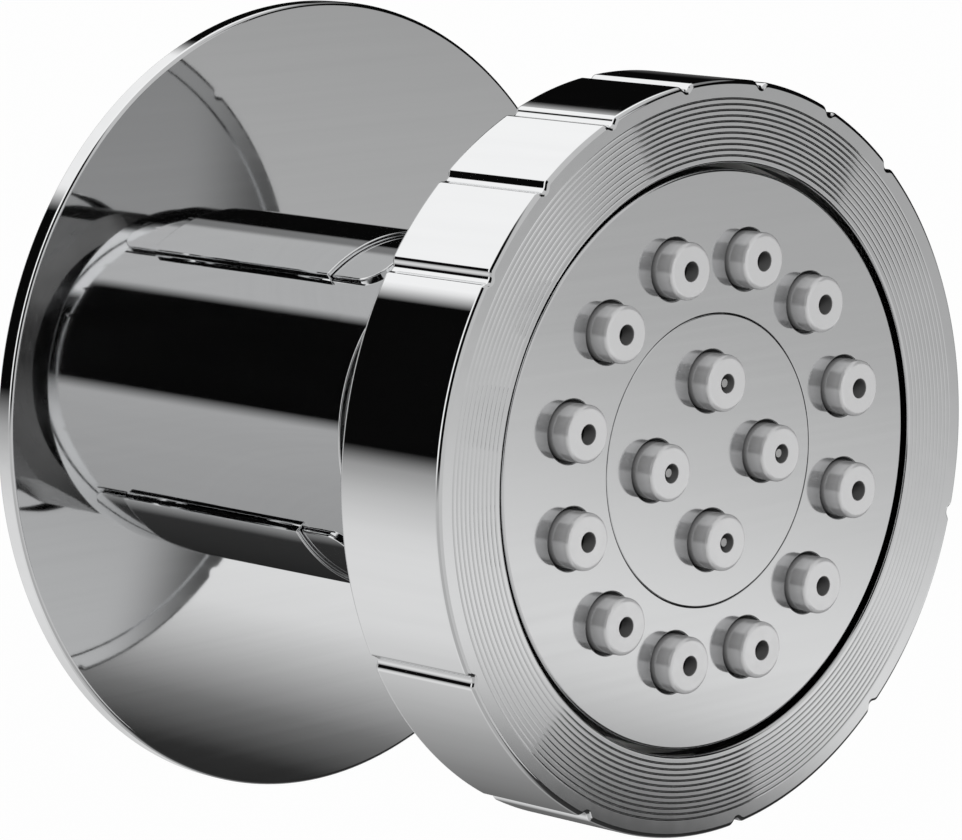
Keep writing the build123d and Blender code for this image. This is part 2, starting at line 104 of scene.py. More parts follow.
# Stem sleeve and lock collar
sleeve_bore = 11.6
pad_middle = 80.0
pad_sweep = 90.0
pad_end = 11.3
tab_sweep = 89.0
skin_sweep = 88.0
skin_root = 0.4
skin_edge = 0.1
tab_front = 15.8
tab_corner = 1.8
collar_hole_radius = 5.6
collar_wall = 1.4
collar_edge = 0.12
seat_edge = 0.03
stem_edge = 0.12

# Grip ring
head_edge = 0.35
flange_bore = 21.2
flange_back = 40.6
flange_edge = 0.2
lip_depth = 0.75
gap_trim = 0.09
ring_bore = 24.9
land_width = 1.1
groove_count = 11
groove_first = 25.65
groove_pitch = 0.4
groove_width = 0.17
groove_depth = 0.028
groove_edge = 0.03
groove_floor = 0.03
notch_width = 1.15
notch_floor = 0.45
notch_depth = 0.35
notch_blend = 0.5
notch_samples = 36
notch_room = 1.05
upper_notches = (7, 16.55, 96.0)
lower_notches = (5, 34.45, 276.0)

# Face, centre disc and nozzles
face_edge = 0.2
seam_edge = 0.05
disc_edge = 0.08
hole_edge = 0.1
face_back = 41.2
rim_depth = 0.26
mat_back = 40.2
mat_rim = 1.0
skirt_wall = 0.7
seam = 0.06
mat_room = 0.1
nozzle_radius = 2.04
nozzle_edge = 0.3
nozzle_hole_radius = 2.24
jet_edge = 0.06
# Painted shade on the nozzles: their colour darkens towards the root, most where they sit in the face's
# holes
root_shade = 0.12
side_shade = 0.62
root_depth = 0.45
tip_share = 0.75
jet_back = 43.1
feed_radius = 1.3
outer_circle = 14.5
outer_count = 12
outer_start = 15.0
outer_jet_radius = 0.68
inner_circle = 5.7
inner_count = 4
inner_start = 0.0
inner_jet_radius = 0.65


# Mesh building

class Surface:
    """Faces gathered with a normal at each corner, then welded into one smooth mesh."""

    def __init__(self):
        self.corners = []
        self.normals = []
        self.sides = []
        self.finishes = []
        self.finish = 0

    def add(self, corners, normals):
        """Faces as arrays of shape (faces, corners of a face, 3), in the finish that is set."""
        count, sides = corners.shape[:2]
        self.corners.append(corners.reshape(-1, 3))
        self.normals.append(normals.reshape(-1, 3))
        self.sides.append(np.full(count, sides))
        self.finishes.append(np.full(count, self.finish))

    def piece(self, name, materials, body, *nodes):
        """The welded mesh as a piece that rides on a body and stands for CAD nodes."""
        corners = np.concatenate(self.corners) * MM
        normals = np.concatenate(self.normals)
        sides = np.concatenate(self.sides)
        keys = np.round(corners / WELD).astype(np.int64)
        _, first, index = np.unique(keys, axis=0, return_index=True, return_inverse=True)
        faces = np.split(index.ravel(), np.cumsum(sides)[:-1])
        mesh = bpy.data.meshes.new(name)
        mesh.from_pydata(corners[first].tolist(), [], [face.tolist() for face in faces])
        mesh.polygons.foreach_set("use_smooth", np.ones(len(faces), bool))
        mesh.normals_split_custom_set(normals.tolist())
        mesh.polygons.foreach_set("material_index", np.concatenate(self.finishes))
        return add_piece(name, mesh, materials, body, *nodes)


def add_piece(name, mesh, materials, body, *nodes):
    """A mesh as a piece of the object, with its materials, its body and the nodes it stands for."""
    piece = bpy.data.objects.new(name, mesh)
    bpy.context.scene.collection.objects.link(piece)
    for finish in materials:
        mesh.materials.append(finish)
    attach(piece, body)
    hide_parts(*nodes)
    return piece


def corner_arc(here, before, after, rounding):
    """The places and normals along a rounded corner between two directions."""
    first = math.atan2(before[1], before[0])
    turn = (math.atan2(after[1], after[0]) - first + math.pi) % FULL_TURN - math.pi
    start = here - before / np.linalg.norm(before) * rounding * math.tan(abs(turn) / 2)
    side = math.copysign(1.0, turn)
    centre = start - side * rounding * np.array((math.sin(first), -math.cos(first)))
    arc = []
    for step in range(ARC_STEPS + 1):
        heading = first + turn * step / ARC_STEPS
        normal = np.array((math.sin(heading), -math.cos(heading)))
        arc.append((centre + side * rounding * normal, normal))
    return arc


def outline(corners, closed=True):
    """Stretches of a (radius, out, rounding, share) outline that runs anticlockwise.

    Each stretch is a pair of (radius, out, normal radius, normal out, share) ends. A rounded
    corner becomes an arc. The share says how far the ends follow a notch."""
    points = [tuple(corner) + (0.0,) * (4 - len(corner)) for corner in corners]
    count = len(points)
    turns = []
    for index, (radius, out, rounding, share) in enumerate(points):
        here = np.array((radius, out))
        arc = [(here, None)]
        if rounding and (closed or index not in (0, count - 1)):
            before = here - np.array(points[index - 1][:2])
            after = np.array(points[(index + 1) % count][:2]) - here
            arc = corner_arc(here, before, after, rounding)
        turns.append([(place, normal, share) for place, normal in arc])
    stretches = []
    for index, arc in enumerate(turns):
        for (place, normal, share), (next_place, next_normal, next_share) in zip(arc, arc[1:]):
            stretches.append(((*place, *normal, share), (*next_place, *next_normal, next_share)))
        if index == count - 1 and not closed:
            break
        start, start_share = arc[-1][0], arc[-1][2]
        end, end_share = turns[(index + 1) % count][0][0], turns[(index + 1) % count][0][2]
        along = end - start
        length = np.linalg.norm(along)
        if length < WELD:
            continue
        normal = (along[1] / length, -along[0] / length)
        stretches.append(((*start, *normal, start_share), (*end, *normal, end_share)))
    return np.array(stretches)


def even_angles(steps):
    """Angles round a full turn, without the last one that closes it."""
    return np.arange(steps) * FULL_TURN / steps


def quad_corners(start, end):
    """The four corners of every quad between rows of points."""
    return [start[:, :-1], start[:, 1:], end[:, 1:], end[:, :-1]]


def quad_faces(start, end):
    return np.stack(quad_corners(start, end), 2).reshape(-1, 4, 3)


def lathe(surface, stretches, angles, centre=(0.0, 0.0), depth=None, slope=None):
    """Turns an outline about a centre across the jet, cut back by a depth at each angle."""
    cosines = np.append(np.cos(angles), np.cos(angles[0]))
    sines = np.append(np.sin(angles), np.sin(angles[0]))
    cut = np.zeros(len(cosines)) if depth is None else np.append(depth, depth[0])
    lean = np.zeros(len(cosines)) if slope is None else np.append(slope, slope[0])

    def ring(ends):
        radius = ends[:, 0:1] - ends[:, 4:5] * cut
        out = np.broadcast_to(-ends[:, 1:2], radius.shape)
        places = np.stack([centre[0] + radius * cosines, out, centre[1] + radius * sines], -1)
        tilt = ends[:, 4:5] * lean / np.maximum(radius, WELD)
        scale = ends[:, 2:3] / np.sqrt(1 + tilt * tilt)
        normals = np.stack(
            [
                scale * (cosines - tilt * sines),
                np.broadcast_to(-ends[:, 3:4], radius.shape),
                scale * (sines + tilt * cosines),
            ],
            -1,
        )
        return places, normals

    for on_axis in (False, True):
        chosen = stretches[(stretches[:, :, 0].min(axis=1) < WELD) == on_axis]
        if len(chosen) == 0:
            continue
        start, start_normal = ring(chosen[:, 0])
        end, end_normal = ring(chosen[:, 1])
        if not on_axis:
            surface.add(quad_faces(start, end), quad_faces(start_normal, end_normal))
            continue
        quads = quad_corners(start, end)
        quad_normals = quad_corners(start_normal, end_normal)
        for row in range(len(chosen)):
            kept = (0, 2, 3) if chosen[row, 0, 0] < WELD else (0, 1, 2)
            surface.add(
                np.stack([quads[corner][row] for corner in kept], 1),
                np.stack([quad_normals[corner][row] for corner in kept], 1),
            )


def circle_points(radius, steps, centre=(0.0, 0.0)):
    """The corners of a circle across the jet, as a lathe places them."""
    angles = even_angles(steps)
    return [(centre[0] + radius * math.cos(a), centre[1] + radius * math.sin(a)) for a in angles]


def fill(surface, loops, out, facing):
    """A flat face across the jet between an outer loop and its holes. Facing is 1 for the front."""
    places = np.array([point for loop in loops for point in loop])
    corners = np.array(tessellate_polygon([[Vector((x, z, 0)) for x, z in loop] for loop in loops]))
    first, second, third = places[corners[:, 0]], places[corners[:, 1]], places[corners[:, 2]]
    one, two = second - first, third - first
    clockwise = (one[:, 0] * two[:, 1] - one[:, 1] * two[:, 0]) * facing < 0
    corners[clockwise] = corners[clockwise][:, ::-1]
    flat = places[corners]
    solid = np.stack([flat[..., 0], np.full(flat.shape[:2], -out), flat[..., 1]], -1)
    surface.add(solid, np.broadcast_to((0.0, -float(facing), 0.0), solid.shape))


def on_circle(circle, count, start):
    """Centres spaced evenly on a circle across the jet."""
    angles = [math.radians(start) + index * FULL_TURN / count for index in range(count)]
    return [(circle * math.cos(angle), circle * math.sin(angle)) for angle in angles]


def sector_grid(sectors, cells):
    """The angles, radii and places of a grid of ring sectors, and which of its cells are filled."""
    angles, owner = [], []
    for index, (first, last) in enumerate(sectors):
        count = max(1, round(math.radians(last - first) / SECTOR_STEP))
        angles += [math.radians(first + (last - first) * part / count) for part in range(count)]
        owner += [index] * count
    radii = sorted({value for cell in cells for value in cell[1:3]})
    outs = sorted({value for cell in cells for value in cell[3:5]})
    filled = np.zeros((len(angles), len(radii) - 1, len(outs) - 1), bool)
    for sector, inner, outer, back, front in cells:
        across = slice(radii.index(inner), radii.index(outer))
        along = slice(outs.index(back), outs.index(front))
        filled[np.array(owner) == sector, across, along] = True
    return angles, radii, outs, filled


def open_faces(filled):
    """The faces between filled cells and empty ones, and the grid place of each of their corners."""
    turns = len(filled)
    places, faces = {}, []

    def corner(turn, ring, level):
        return places.setdefault((turn % turns, ring, level), len(places))

    def present(turn, ring, level):
        inside = 0 <= ring < filled.shape[1] and 0 <= level < filled.shape[2]
        return inside and filled[turn % turns, ring, level]

    for cell in np.argwhere(filled):
        for axis in range(3):
            one, two = [other for other in range(3) if other != axis]
            for end in (0, 1):
                beside = cell.copy()
                beside[axis] += 2 * end - 1
                if present(*beside):
                    continue
                face = []
                for first, second in ((0, 0), (1, 0), (1, 1), (0, 1)):
                    key = cell.copy()
                    key[axis] += end
                    key[one] += first
                    key[two] += second
                    face.append(corner(*key))
                flip = (axis == 1) == bool(end)
                faces.append(face[::-1] if flip else face)
    return places, faces


def sector_solid(name, sectors, cells, edge, finish, body, node):
    """A solid of ring sectors, with every edge rounded but those in the planes of its two ends.

    Sectors are pairs of edge angles in degrees. Each cell is a sector's index, its inner and outer
    radius and where it starts and ends."""
    angles, radii, outs, filled = sector_grid(sectors, cells)
    places, faces = open_faces(filled)
    corners = []
    for turn, ring, level in places:
        angle, radius = angles[turn], radii[ring] * MM
        corners.append((radius * math.cos(angle), -outs[level] * MM, radius * math.sin(angle)))
    mesh = bpy.data.meshes.new(name)
    mesh.from_pydata(corners, [], faces)
    round_edges(mesh, edge, (outs[0], outs[-1]))
    turned_normals(mesh)
    return add_piece(name, mesh, [finish], body, node)


def round_edges(mesh, edge, seats):
    """Rounds a mesh's sharp edges, but not those that lie in the plane of a seat."""
    shape = bmesh.new()
    shape.from_mesh(mesh)
    chosen = []
    for side in shape.edges:
        seated = [all(abs(end.co.y + seat * MM) < WELD for end in side.verts) for seat in seats]
        if side.calc_face_angle(0) > SHARP_ANGLE and not any(seated):
            chosen.append(side)
    bmesh.ops.bevel(
        shape,
        geom=chosen,
        offset=edge * MM,
        offset_type="OFFSET",
        segments=ARC_STEPS,
        profile=ROUND_PROFILE,
        affect="EDGES",
    )
    shape.to_mesh(mesh)
    shape.free()


def turned_normals(mesh):
    """Exact normals on a turned form's cylinders, ends and sides, blended over its roundings."""
    places = np.array([tuple(vertex.co) for vertex in mesh.vertices])
    radial = places * (1, 0, 1)
    radial /= np.maximum(np.linalg.norm(radial, axis=1, keepdims=True), WELD)
    plain, sums = [], np.zeros((len(places), 3))
    for face in mesh.polygons:
        normal = np.array(face.normal)
        ends = radial[list(face.vertices)]
        facing = normal @ ends.mean(axis=0)
        is_end = abs(normal[1]) > NEARLY_ALONG
        is_side = abs(facing) < NEARLY_SQUARE and abs(normal[1]) < NEARLY_SQUARE
        own = None
        if abs(facing) > NEARLY_ALONG:
            own = np.sign(facing) * ends
        elif is_end or is_side:
            own = np.tile(normal, (len(ends), 1))
        plain.append(own)
        if own is not None:
            np.add.at(sums, list(face.vertices), own)
    smooth = np.array([tuple(vertex.normal) for vertex in mesh.vertices])
    length = np.linalg.norm(sums, axis=1, keepdims=True)
    smooth = np.where(length > WELD, sums / np.maximum(length, WELD), smooth)
    normals = []
    for face, own in zip(mesh.polygons, plain):
        normals.append(smooth[list(face.vertices)] if own is None else own)
    mesh.polygons.foreach_set("use_smooth", np.ones(len(mesh.polygons), bool))
    mesh.normals_split_custom_set(np.concatenate(normals).tolist())


def block_runs(half, span, corner):
    """The four sides of a block laid flat: places across it and along it, and their normals."""
    back, front = span
    bend = np.linspace(0, math.pi / 2, BEND_STEPS) if corner else np.array([math.pi / 2])
    level = np.linspace(corner - half, half - corner, ROUND_STEPS // 4)
    straight = len(level) - 2
    inset = corner * (1 - np.cos(bend))
    bent = front - corner * (1 - np.sin(bend))
    across = np.concatenate([-half + inset, level[1:-1], (half - inset)[::-1]])
    ahead = np.concatenate([bent, np.full(straight, front), bent[::-1]])
    side = np.concatenate([-np.cos(bend), np.zeros(straight), np.cos(bend)[::-1]])
    along = np.concatenate([np.sin(bend), np.ones(straight), np.sin(bend)[::-1]])
    count = len(across)
    return {
        "front": (across, ahead, side, along),
        "right": (across[[-1, -1]], np.array([ahead[-1], back]), np.ones(2), np.zeros(2)),
        "back": (across[::-1], np.full(count, back), np.zeros(count), -np.ones(count)),
        "left": (across[[0, 0]], np.array([back, ahead[0]]), -np.ones(2), np.zeros(2)),
    }


def wrapped_block(surface, middle, sweep, radii, span, corner, edge):
    """A closed block bent round part of a turn, with a rounded outer edge.

    Radii and span are its inner and outer radius and its back and front. The corner rounds its two
    front corners."""
    inner, outer = radii
    runs = block_runs(math.radians(sweep / 2) * outer, span, corner)
    order = list(runs)
    turns = np.linspace(0, math.pi / 2, ARC_STEPS + 1)
    profile = [(0.0, inner, 0.0)]
    profile += [(edge * (1 - math.cos(t)), outer - edge * (1 - math.sin(t)), t) for t in turns]

    def place(run, offset, radius, lean):
        """The points of one run moved in by an offset, and their normals."""
        u, s, nu, ns = runs[run]
        shift = np.stack([nu, ns], 1)
        index = order.index(run)
        before, after = runs[order[index - 1]], runs[order[(index + 1) % len(order)]]
        for end, beside, far in ((0, before, -1), (-1, after, 0)):
            other = np.array([beside[2][far], beside[3][far]])
            if abs(shift[end] @ other) < WELD:
                shift[end] = shift[end] + other
        angle = math.radians(middle) + (u - offset * shift[:, 0]) / outer
        depth = s - offset * shift[:, 1]
        radial = np.stack([np.cos(angle), np.zeros(len(u)), np.sin(angle)], 1)
        tangent = np.stack([-np.sin(angle), np.zeros(len(u)), np.cos(angle)], 1)
        points = radial * radius
        points[:, 1] = -depth
        flat = tangent * nu[:, None] + np.array([0.0, -1.0, 0.0]) * ns[:, None]
        return points, flat * math.cos(lean) + radial * math.sin(lean)

    for run in order:
        rows = [place(run, *step) for step in profile]
        for (low, low_normal), (high, high_normal) in zip(rows, rows[1:]):
            quads = [low[1:], low[:-1], high[:-1], high[1:]]
            normals = [low_normal[1:], low_normal[:-1], high_normal[:-1], high_normal[1:]]
            surface.add(np.stack(quads, 1), np.stack(normals, 1))
    for step, facing in ((profile[-1], 1), ((0.0, inner, -math.pi / 2), -1)):
        far, far_normal = place("front", *step)
        near, near_normal = place("back", *step)
        near, near_normal = near[::-1], near_normal[::-1]
        quads = [near[:-1], near[1:], far[1:], far[:-1]][::facing]
        normals = [near_normal[:-1], near_normal[1:], far_normal[1:], far_normal[:-1]][::facing]
        surface.add(np.stack(quads, 1), np.stack(normals, 1))


# Materials

NOISE_SPAN = (0.3, 0.7)
polish_scale = 900.0
polish_detail = 6.0
polish_height = 2e-7
chrome_dark = (0.79, 0.795, 0.80)
chrome_light = (0.81, 0.815, 0.82)
turning_scale = 700.0
turning_stretch = (1, 8, 1)
turning_height = 1e-6
metal_cloud_scale = 160.0
metal_play = 0.06
moulding_scale = 2500.0
moulding_cloud_scale = 220.0
moulding_play = 0.05


def material(name, slot, **sockets):
    """A new material for a slot of the record, with constant values set on its shader's sockets."""
    made = bpy.data.materials.new(name)
    made.use_nodes = True
    shader = made.node_tree.nodes["Principled BSDF"]
    for socket, value in sockets.items():
        shader.inputs[socket.replace("_", " ")].default_value = value
    made["slot"] = slot
    return made


def grain(made, scale, stretch=(1, 1, 1), detail=4.0):
    """Noise over the piece's own coordinates, in features per metre."""
    nodes, links = made.node_tree.nodes, made.node_tree.links
    place = nodes.new("ShaderNodeTexCoord")
    mapping = nodes.new("ShaderNodeMapping")
    mapping.inputs["Scale"].default_value = stretch
    noise = nodes.new("ShaderNodeTexNoise")
    noise.inputs["Scale"].default_value = scale
    noise.inputs["Detail"].default_value = detail
    links.new(place.outputs["Object"], mapping.inputs["Vector"])
    links.new(mapping.outputs["Vector"], noise.inputs["Vector"])
    return noise.outputs["Fac"]


def spread(made, factor, low, high):
    """The noise mapped between two values."""
    node = made.node_tree.nodes.new("ShaderNodeMapRange")
    node.inputs["From Min"].default_value = NOISE_SPAN[0]
    node.inputs["From Max"].default_value = NOISE_SPAN[1]
    node.inputs["To Min"].default_value = low
    node.inputs["To Max"].default_value = high
    made.node_tree.links.new(factor, node.inputs["Value"])
    return node.outputs["Result"]


def tint(made, factor, dark, light):
    """The noise as a shift between two colours."""
    ramp = made.node_tree.nodes.new("ShaderNodeValToRGB")
    for stop, position, colour in zip(ramp.color_ramp.elements, NOISE_SPAN, (dark, light)):
        stop.position = position
        stop.color = (*colour, 1)
    made.node_tree.links.new(factor, ramp.inputs["Fac"])
    return ramp.outputs["Color"]


def link(made, output, socket):
    shader = made.node_tree.nodes["Principled BSDF"]
    made.node_tree.links.new(output, shader.inputs[socket])


def relief(made, factor, height):
    """Bump from the noise, with its height in metres."""
    bump = made.node_tree.nodes.new("ShaderNodeBump")
    bump.inputs["Strength"].default_value = 1.0
    bump.inputs["Distance"].default_value = height
    made.node_tree.links.new(factor, bump.inputs["Height"])
    link(made, bump.outputs["Normal"], "Normal")


def chrome(name, low, high, streaks, slot="chrome", height=polish_height):
    """Polished chrome plate. The streaks stretch its polishing marks along X, Y or Z."""
    made = material(name, slot, Metallic=1.0)
    marks = grain(made, polish_scale, stretch=streaks, detail=polish_detail)
    link(made, tint(made, marks, chrome_dark, chrome_light), "Base Color")
    link(made, spread(made, marks, low, high), "Roughness")
    relief(made, marks, height)
    return made


def plastic(name, slot, dark, light, roughness, height, sheen=0.0):
    """Moulded plastic or rubber with a fine skin, and a metallic sheen where one is asked for."""
    made = material(name, slot, Metallic=sheen)
    skin = grain(made, moulding_scale)
    link(made, tint(made, grain(made, moulding_cloud_scale), dark, light), "Base Color")
    link(made, spread(made, skin, roughness - moulding_play, roughness + moulding_play), "Roughness")
    if height:
        relief(made, skin, height)
    return made


def shade_roots(made, root, tip):
    """Painted shade: darkens a nozzle's colour from its tip down to its root, and more in its hole."""
    nodes, links = made.node_tree.nodes, made.node_tree.links
    place = nodes.new("ShaderNodeTexCoord")
    parts = nodes.new("ShaderNodeSeparateXYZ")
    links.new(place.outputs["Object"], parts.inputs["Vector"])
    depth = nodes.new("ShaderNodeMapRange")
    depth.inputs["From Min"].default_value = -(root - root_depth) * MM
    depth.inputs["From Max"].default_value = -tip * MM
    links.new(parts.outputs["Y"], depth.inputs["Value"])
    fade = nodes.new("ShaderNodeValToRGB")
    stops = [(0.0, root_shade), (root_depth / (tip - root + root_depth), side_shade), (tip_share, 1.0)]
    fade.color_ramp.elements.new(0.5)
    for stop, (place_along, level) in zip(fade.color_ramp.elements, stops):
        stop.position = place_along
        stop.color = (level, level, level, 1)
    links.new(depth.outputs["Result"], fade.inputs["Fac"])
    shade = nodes.new("ShaderNodeMix")
    shade.data_type = "RGBA"
    shade.blend_type = "MULTIPLY"
    shade.inputs["Factor"].default_value = 1.0
    socket = nodes["Principled BSDF"].inputs["Base Color"]
    links.new(socket.links[0].from_socket, shade.inputs["A"])
    links.new(fade.outputs["Color"], shade.inputs["B"])
    links.new(shade.outputs["Result"], socket)


def metal(name, slot, dark, light, roughness):
    """Plain machined metal, with turning marks across the jet."""
    made = material(name, slot, Metallic=1.0)
    marks = grain(made, turning_scale, stretch=turning_stretch)
    link(made, tint(made, grain(made, metal_cloud_scale), dark, light), "Base Color")
    link(made, spread(made, marks, roughness - metal_play, roughness + metal_play), "Roughness")
    relief(made, marks, turning_height)
    return made


EVEN = (1, 1, 1)
ALONG = (1, 0.05, 1)
ACROSS = (0.04, 1, 1.6)
mirror = chrome("chrome_mirror", 0.02, 0.045, ALONG)
plate_chrome = chrome("chrome_plate", 0.025, 0.04, ACROSS)
face_chrome = chrome("chrome_face", 0.08, 0.12, ACROSS, slot="satin_metal")
ring_satin = chrome("chrome_ring", 0.07, 0.09, EVEN, height=5e-8)
# Painted shade: a near-black copy of the chrome for the walls of the gap between the grip ring and the
# face, where there is only shade
gap_painted_shade = metal("gap_painted_shade", "chrome", (0.012, 0.012, 0.012), (0.02, 0.02, 0.02), 0.5)
brass = metal("brass", "brass", (0.66, 0.49, 0.22), (0.75, 0.58, 0.30), 0.26)
steel = metal("steel", "steel", (0.54, 0.54, 0.54), (0.64, 0.64, 0.63), 0.28)
# Painted shade: a darkened copy of the chrome for the ball nut
nut_painted_shade = metal("nut_painted_shade", "chrome", (0.10, 0.10, 0.10), (0.14, 0.14, 0.14), 0.22)
silicone = plastic(
    "silicone", "grey_silicone", (0.64, 0.64, 0.645), (0.66, 0.66, 0.665), 0.17, 0, sheen=0.45
)
# Painted shade: a near-black copy of the grey silicone for the inside of the jets
jet_painted_shade = plastic("jet_painted_shade", "grey_silicone", (0.10, 0.10, 0.10), (0.12, 0.12, 0.12), 0.4, 0)
# Painted shade on the nozzles, darker towards their roots
shade_roots(silicone, face_front, nozzle_tip)
rubber = plastic("rubber", "black_rubber", (0.030, 0.030, 0.031), (0.042, 0.042, 0.043), 0.55, 4e-6)
acetal = plastic("acetal", "white_plastic", (0.74, 0.74, 0.72), (0.82, 0.82, 0.80), 0.40, 2e-6)


# Pieces

def make_plate():
    plate = Surface()
    section = [
        (plate_hole_radius, plate_back),
        (gasket_inner_radius, plate_back),
        (gasket_inner_radius, gasket_front),
        (gasket_radius + gasket_room, gasket_front),
        (gasket_radius + gasket_room, plate_back),
        (plate_radius, plate_back, plate_edge / 2),
        (plate_radius, plate_front, plate_edge),
        (plate_hole_radius, plate_front),
    ]
    lathe(plate, outline(section), even_angles(ROUND_STEPS))
    return plate.piece("wall_plate_polished", [plate_chrome], "wall", "wall_plate")


def thread_surface(surface, start, end, angles):
    """A right-handed helical thread between two places, faded out to the plain cylinder at both."""
    count = round((end - start) / thread_pitch * thread_rows)
    out = np.linspace(start, end, count + 1)[:, None]
    turn = np.append(angles, FULL_TURN)[None, :]
    room = np.minimum(out - start, end - out)
    fade = np.clip(room / thread_fade, 0, 1) * thread_depth / 2
    phase = FULL_TURN * out / thread_pitch - turn
    radius = thread_radius - fade * (1 + np.cos(phase))
    along = np.gradient(radius, out[:, 0], axis=0)
    around = -fade * np.sin(phase) / radius
    cosines, sines = np.cos(turn), np.sin(turn)
    level = np.broadcast_to(-out, radius.shape)
    places = np.stack([radius * cosines, level, radius * sines], -1)
    normals = np.stack([cosines + around * sines, along, sines - around * cosines], -1)
    normals /= np.linalg.norm(normals, axis=-1, keepdims=True)
    surface.add(quad_faces(places[:-1], places[1:]), quad_faces(normals[:-1], normals[1:]))


def make_nipple():
    nipple = Surface()
    thread_start = nipple_back + thread_chamfer
    relief_radius = thread_radius - thread_depth
    section = [
        (thread_radius, -relief_width),
        (relief_radius, -relief_width),
        (relief_radius, plate_front),
        (shoulder_radius, plate_front),
        (shoulder_radius, shoulder_end),
        (socket_radius, shoulder_end),
        (socket_radius, shoulder_end - socket_depth),
        (water_bore, shoulder_end - socket_depth),
        (water_bore, nipple_back + screen_depth),
        (screen_seat, nipple_back + screen_depth),
        (screen_seat, nipple_back),
        (thread_radius - thread_chamfer, nipple_back),
        (thread_radius, thread_start),
    ]
    steps = even_angles(ROUND_STEPS)
    lathe(nipple, outline(section, closed=False), steps)
    thread_surface(nipple, thread_start, -relief_width, steps)
    return nipple.piece("inlet_nipple_threaded", [brass], "wall", "inlet_nipple")


def stem_sectors(sweep):
    """Edge angles of the pad and tongue sectors, pads first in each half turn."""
    starts = (pad_middle - sweep / 2, pad_middle + 180 - sweep / 2)
    edges = [starts[0], starts[0] + sweep, starts[1], starts[1] + sweep, starts[0] + 360]
    return list(zip(edges, edges[1:]))


def make_sleeve():
    cells = []
    for sector in range(4):
        is_pad = sector % 2 == 0
        end = pad_end if is_pad else tongue_end
        cells.append((sector, sleeve_bore, tongue_radius, sleeve_back, pad_end))
        if is_pad:
            cells.append((sector, tongue_radius, pad_radius, sleeve_back, pad_end))
        else:
            cells.append((sector, sleeve_bore, tongue_radius, pad_end, end))
    return sector_solid(
        "stem_sleeve_polished", stem_sectors(pad_sweep), cells, stem_edge, mirror, "wall", "stem_sleeve"
    )


def make_collar():
    collar = Surface()
    section = [
        (sleeve_bore, tongue_end),
        (collar_radius, tongue_end),
        (collar_radius, collar_front, collar_edge),
        (collar_hole_radius, collar_front, stem_edge),
        (collar_hole_radius, collar_front - collar_wall),
        (sleeve_bore, collar_front - collar_wall),
    ]
    lathe(collar, outline(section), even_angles(ROUND_STEPS))
    for middle in (pad_middle, pad_middle + 180):
        foot, skin = (sleeve_bore, collar_radius), (collar_radius - skin_root, tab_radius)
        wrapped_block(collar, middle, tab_sweep, foot, (tab_back, tongue_end), 0, seat_edge)
        wrapped_block(collar, middle, skin_sweep, skin, (tab_back, tab_front), tab_corner, skin_edge)
    return collar.piece("lock_collar_polished", [mirror], "wall", "lock_collar")


def notch_angles():
    """Middle angles of all notches, in radians."""
    found = []
    for count, pitch, middle in (upper_notches, lower_notches):
        found += [middle + (index - (count - 1) / 2) * pitch for index in range(count)]
    return [math.radians(angle) for angle in found]


def notch_cut(angles):
    """How deep the notches cut at each angle, and how fast that changes with the angle."""
    depth = np.zeros(len(angles))
    slope = np.zeros(len(angles))
    flank = (notch_width - notch_floor) / 2

    def ramp(distance):
        """A straight flank between two rounded corners: its height and slope."""
        part = np.clip((notch_width / 2 - distance) / flank, -notch_blend, 1 + notch_blend)
        low = (part + notch_blend) ** 2 / (4 * notch_blend)
        high = 1 - (1 + notch_blend - part) ** 2 / (4 * notch_blend)
        height = np.where(part < notch_blend, low, np.where(part > 1 - notch_blend, high, part))
        low_rate = (part + notch_blend) / (2 * notch_blend)
        high_rate = (1 + notch_blend - part) / (2 * notch_blend)
        rate = np.where(part < notch_blend, low_rate, np.where(part > 1 - notch_blend, high_rate, 1.0))
        return height, rate

    for middle in notch_angles():
        away = (angles - middle + math.pi) % FULL_TURN - math.pi
        height, rate = ramp(np.abs(away) * head_radius)
        depth += notch_depth * height
        slope += -np.sign(away) * notch_depth * rate * head_radius / flank
    return depth, slope


def ring_angles():
    """Angles round the grip ring, closer together across the notches."""
    half = (notch_width + notch_blend) / 2 / head_radius
    plain = even_angles(ROUND_STEPS)
    found = [plain]
    for middle in notch_angles():
        plain = plain[np.abs((plain - middle + math.pi) % FULL_TURN - math.pi) > half * notch_room]
        found.append(middle + np.linspace(-half, half, notch_samples))
    found[0] = plain
    return np.sort(np.concatenate(found) % FULL_TURN)


def make_grip_ring():
    ring = Surface()
    land = (head_radius - head_edge, head_front)
    lip_bore = flange_bore - gap_trim
    side = [
        (ring_bore, cover_front),
        (cover_radius, cover_front),
        (cover_radius, head_back),
        (head_radius, head_back, head_edge, 1.0),
        (head_radius, head_front, head_edge, 1.0),
        (*land, 0, 1.0),
    ]
    front = [(*land, 0, 1.0), (head_radius - land_width, head_front)]
    for index in range(groove_count):
        middle = groove_first - index * groove_pitch
        front += [
            (middle + groove_width / 2, head_front, groove_edge),
            (middle, head_front - groove_depth, groove_floor),
            (middle - groove_width / 2, head_front, groove_edge),
        ]
    front += [
        (lip_bore + flange_edge, head_front),
        (lip_bore, head_front, flange_edge),
        (lip_bore, head_front - lip_depth),
    ]
    bore = [
        (lip_bore, head_front - lip_depth),
        (flange_bore, flange_back),
        (ring_bore, flange_back),
        (ring_bore, cover_front),
    ]
    angles = ring_angles()
    depth, slope = notch_cut(angles)
    # The bore behind the ring's lip takes the gap's painted shade.
    for finish, path in enumerate((side, front, bore)):
        ring.finish = finish
        lathe(ring, outline(path, closed=False), angles, depth=depth, slope=slope)
    return ring.piece("grip_ring_polished", [mirror, ring_satin, gap_painted_shade], "selector", "grip_ring")


def holes(surface, centres, hole, out, back):
    """Rounded holes through a plate between two levels."""
    for centre in centres:
        path = [(hole + hole_edge, out), (hole, out, hole_edge), (hole, back)]
        lathe(surface, outline(path, closed=False), even_angles(SMALL_STEPS), centre)


def hole_loops(radius, centres):
    return [circle_points(radius, SMALL_STEPS, centre) for centre in centres]


